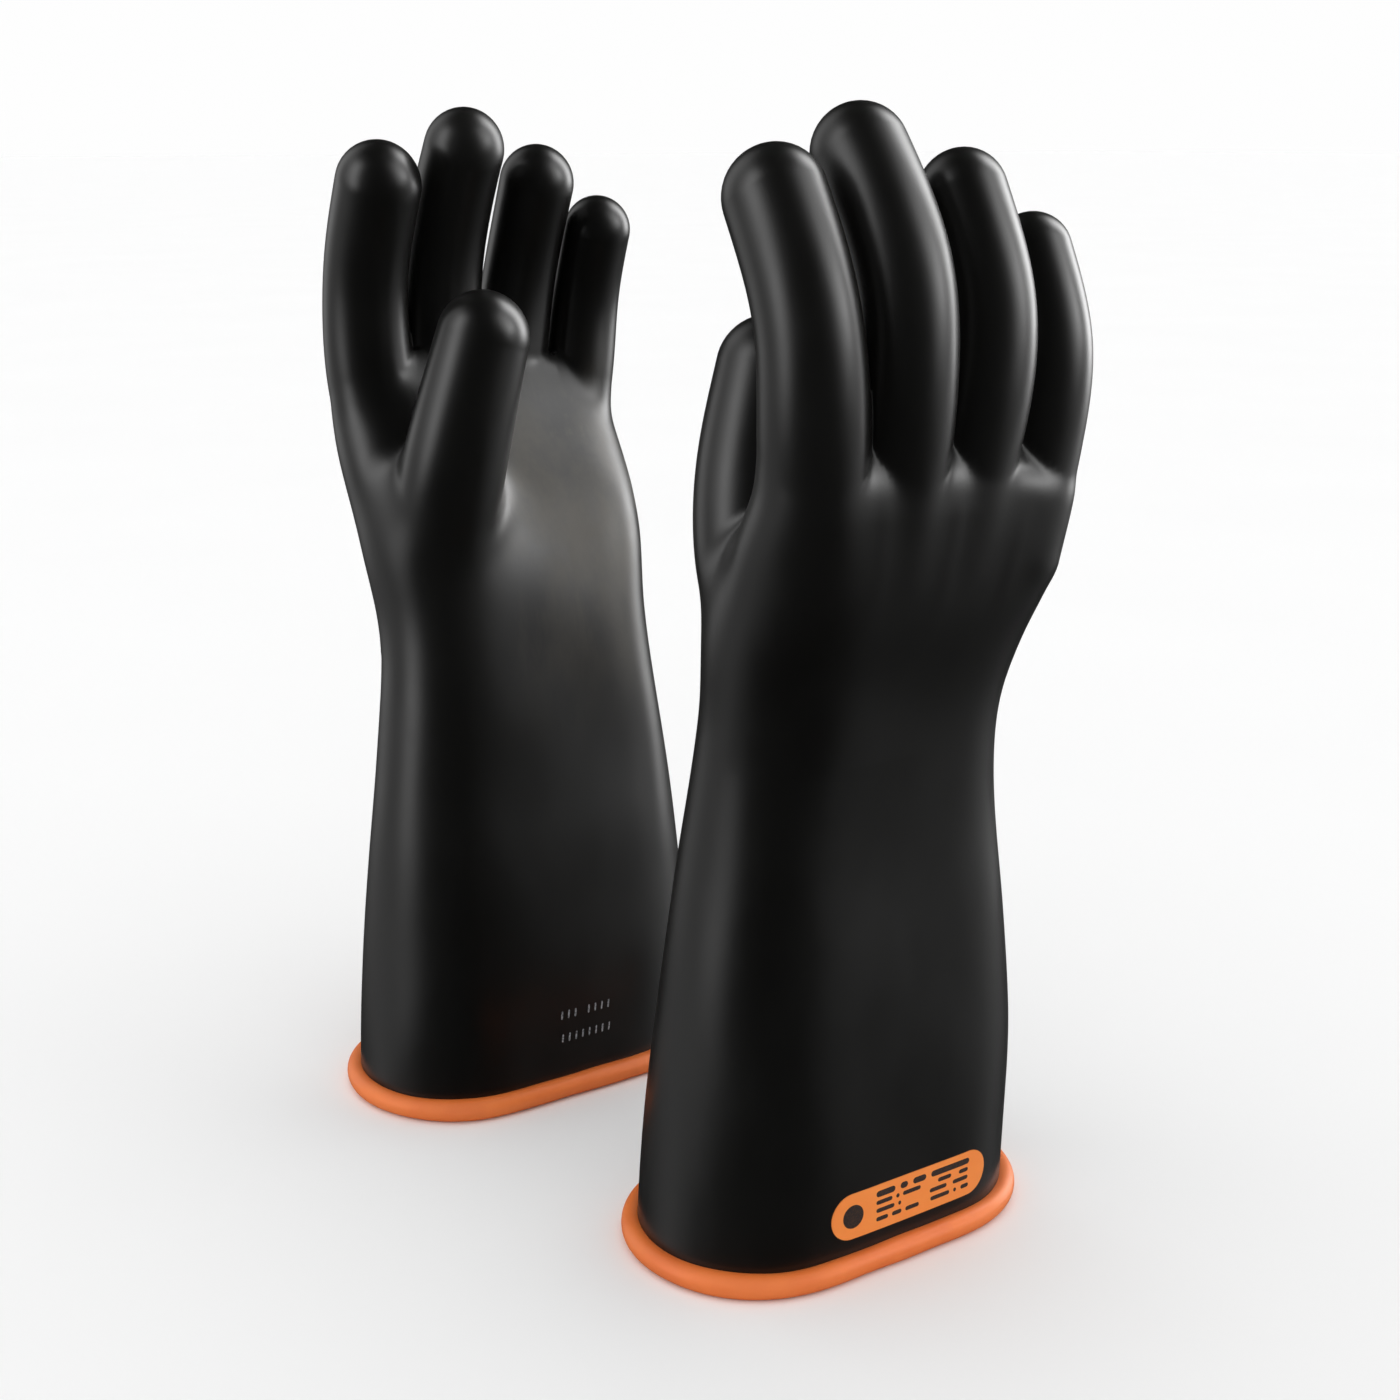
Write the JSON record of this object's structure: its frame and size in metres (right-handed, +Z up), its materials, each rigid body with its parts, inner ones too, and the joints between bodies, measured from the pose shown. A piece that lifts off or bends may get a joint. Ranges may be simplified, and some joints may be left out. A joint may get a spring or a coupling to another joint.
{
  "type": "electrical insulating gloves",
  "caption": "Pair of thick rubber insulating gauntlets, black outside and orange inside, standing on their rolled orange cuffs with the fingers up.",
  "frame": {"origin": "centre of the pair's outline in plan, at the floor the cuffs stand on", "axes": "+Z up along the gloves, -X the thumb side of both gloves, +Y from the front (right-hand) glove to the rear (left-hand) glove; the right glove's palm faces +Y and the left glove's palm faces -Y"},
  "size_m": [0.1924, 0.3068, 0.4099],
  "materials": {
    "black_rubber": "satin",
    "orange_rubber": "satin",
    "bead_rubber": "satin",
    "label_rubber": "matte",
    "stamp_ink": "matte"
  },
  "bodies": {
    "right_gauntlet": {"right_gauntlet_shell": "black_rubber", "right_gauntlet_liner": "orange_rubber", "right_cuff_bead": "bead_rubber", "right_size_label": "label_rubber", "right_palm_stamp": "stamp_ink", "right_wrist_flex": "black_rubber"},
    "right_hand": {"right_hand_shell": "black_rubber", "right_hand_liner": "orange_rubber", "right_thumb_flex": "black_rubber", "right_index_flex": "black_rubber", "right_middle_flex": "black_rubber", "right_ring_flex": "black_rubber", "right_little_flex": "black_rubber"},
    "right_thumb": {"right_thumb_shell": "black_rubber", "right_thumb_liner": "orange_rubber"},
    "right_index": {"right_index_shell": "black_rubber", "right_index_liner": "orange_rubber"},
    "right_middle": {"right_middle_shell": "black_rubber", "right_middle_liner": "orange_rubber"},
    "right_ring": {"right_ring_shell": "black_rubber", "right_ring_liner": "orange_rubber"},
    "right_little": {"right_little_shell": "black_rubber", "right_little_liner": "orange_rubber"},
    "left_gauntlet": {"left_gauntlet_shell": "black_rubber", "left_gauntlet_liner": "orange_rubber", "left_cuff_bead": "bead_rubber", "left_size_label": "label_rubber", "left_palm_stamp": "stamp_ink", "left_wrist_flex": "black_rubber"},
    "left_hand": {"left_hand_shell": "black_rubber", "left_hand_liner": "orange_rubber", "left_thumb_flex": "black_rubber", "left_index_flex": "black_rubber", "left_middle_flex": "black_rubber", "left_ring_flex": "black_rubber", "left_little_flex": "black_rubber"},
    "left_thumb": {"left_thumb_shell": "black_rubber", "left_thumb_liner": "orange_rubber"},
    "left_index": {"left_index_shell": "black_rubber", "left_index_liner": "orange_rubber"},
    "left_middle": {"left_middle_shell": "black_rubber", "left_middle_liner": "orange_rubber"},
    "left_ring": {"left_ring_shell": "black_rubber", "left_ring_liner": "orange_rubber"},
    "left_little": {"left_little_shell": "black_rubber", "left_little_liner": "orange_rubber"}
  },
  "joints": [
    {"name": "left_glove_lift", "type": "slide", "parent": "right_gauntlet", "child": "left_gauntlet", "axis": [0, 0, 1], "range_m": [0, 0.45]},
    {"name": "right_wrist_bend", "type": "hinge", "parent": "right_gauntlet", "child": "right_hand", "pos_m": [0.018, -0.0975, 0.2], "axis": [-1, 0, 0], "range_deg": [-20, 20], "stiffness_Nm_per_rad": 4, "deforming": ["right_wrist_flex"]},
    {"name": "right_thumb_bend", "type": "hinge", "parent": "right_hand", "child": "right_thumb", "pos_m": [-0.0127, -0.08, 0.284], "axis": [-1, 0, 0], "range_deg": [-5, 30], "stiffness_Nm_per_rad": 0.5, "deforming": ["right_thumb_flex"]},
    {"name": "right_index_bend", "type": "hinge", "parent": "right_hand", "child": "right_index", "pos_m": [-0.0288, -0.1325, 0.331], "axis": [-1, 0, 0], "range_deg": [-10, 35], "stiffness_Nm_per_rad": 0.5, "deforming": ["right_index_flex"]},
    {"name": "right_middle_bend", "type": "hinge", "parent": "right_hand", "child": "right_middle", "pos_m": [0.0073, -0.1345, 0.331], "axis": [-1, 0, 0], "range_deg": [-10, 35], "stiffness_Nm_per_rad": 0.5, "deforming": ["right_middle_flex"]},
    {"name": "right_ring_bend", "type": "hinge", "parent": "right_hand", "child": "right_ring", "pos_m": [0.0426, -0.1341, 0.328], "axis": [-1, 0, 0], "range_deg": [-10, 35], "stiffness_Nm_per_rad": 0.5, "deforming": ["right_ring_flex"]},
    {"name": "right_little_bend", "type": "hinge", "parent": "right_hand", "child": "right_little", "pos_m": [0.0751, -0.1311, 0.319], "axis": [-1, 0, 0], "range_deg": [-10, 35], "stiffness_Nm_per_rad": 0.5, "deforming": ["right_little_flex"]},
    {"name": "left_wrist_bend", "type": "hinge", "parent": "left_gauntlet", "child": "left_hand", "pos_m": [-0.01, 0.0975, 0.2], "axis": [1, 0, 0], "range_deg": [-20, 20], "stiffness_Nm_per_rad": 4, "deforming": ["left_wrist_flex"]},
    {"name": "left_thumb_bend", "type": "hinge", "parent": "left_hand", "child": "left_thumb", "pos_m": [-0.0407, 0.08, 0.284], "axis": [1, 0, 0], "range_deg": [-5, 30], "stiffness_Nm_per_rad": 0.5, "deforming": ["left_thumb_flex"]},
    {"name": "left_index_bend", "type": "hinge", "parent": "left_hand", "child": "left_index", "pos_m": [-0.0568, 0.1325, 0.331], "axis": [1, 0, 0], "range_deg": [-10, 35], "stiffness_Nm_per_rad": 0.5, "deforming": ["left_index_flex"]},
    {"name": "left_middle_bend", "type": "hinge", "parent": "left_hand", "child": "left_middle", "pos_m": [-0.0207, 0.1345, 0.331], "axis": [1, 0, 0], "range_deg": [-10, 35], "stiffness_Nm_per_rad": 0.5, "deforming": ["left_middle_flex"]},
    {"name": "left_ring_bend", "type": "hinge", "parent": "left_hand", "child": "left_ring", "pos_m": [0.0146, 0.1341, 0.328], "axis": [1, 0, 0], "range_deg": [-10, 35], "stiffness_Nm_per_rad": 0.5, "deforming": ["left_ring_flex"]},
    {"name": "left_little_bend", "type": "hinge", "parent": "left_hand", "child": "left_little", "pos_m": [0.0471, 0.1311, 0.319], "axis": [1, 0, 0], "range_deg": [-10, 35], "stiffness_Nm_per_rad": 0.5, "deforming": ["left_little_flex"]}
  ]
}
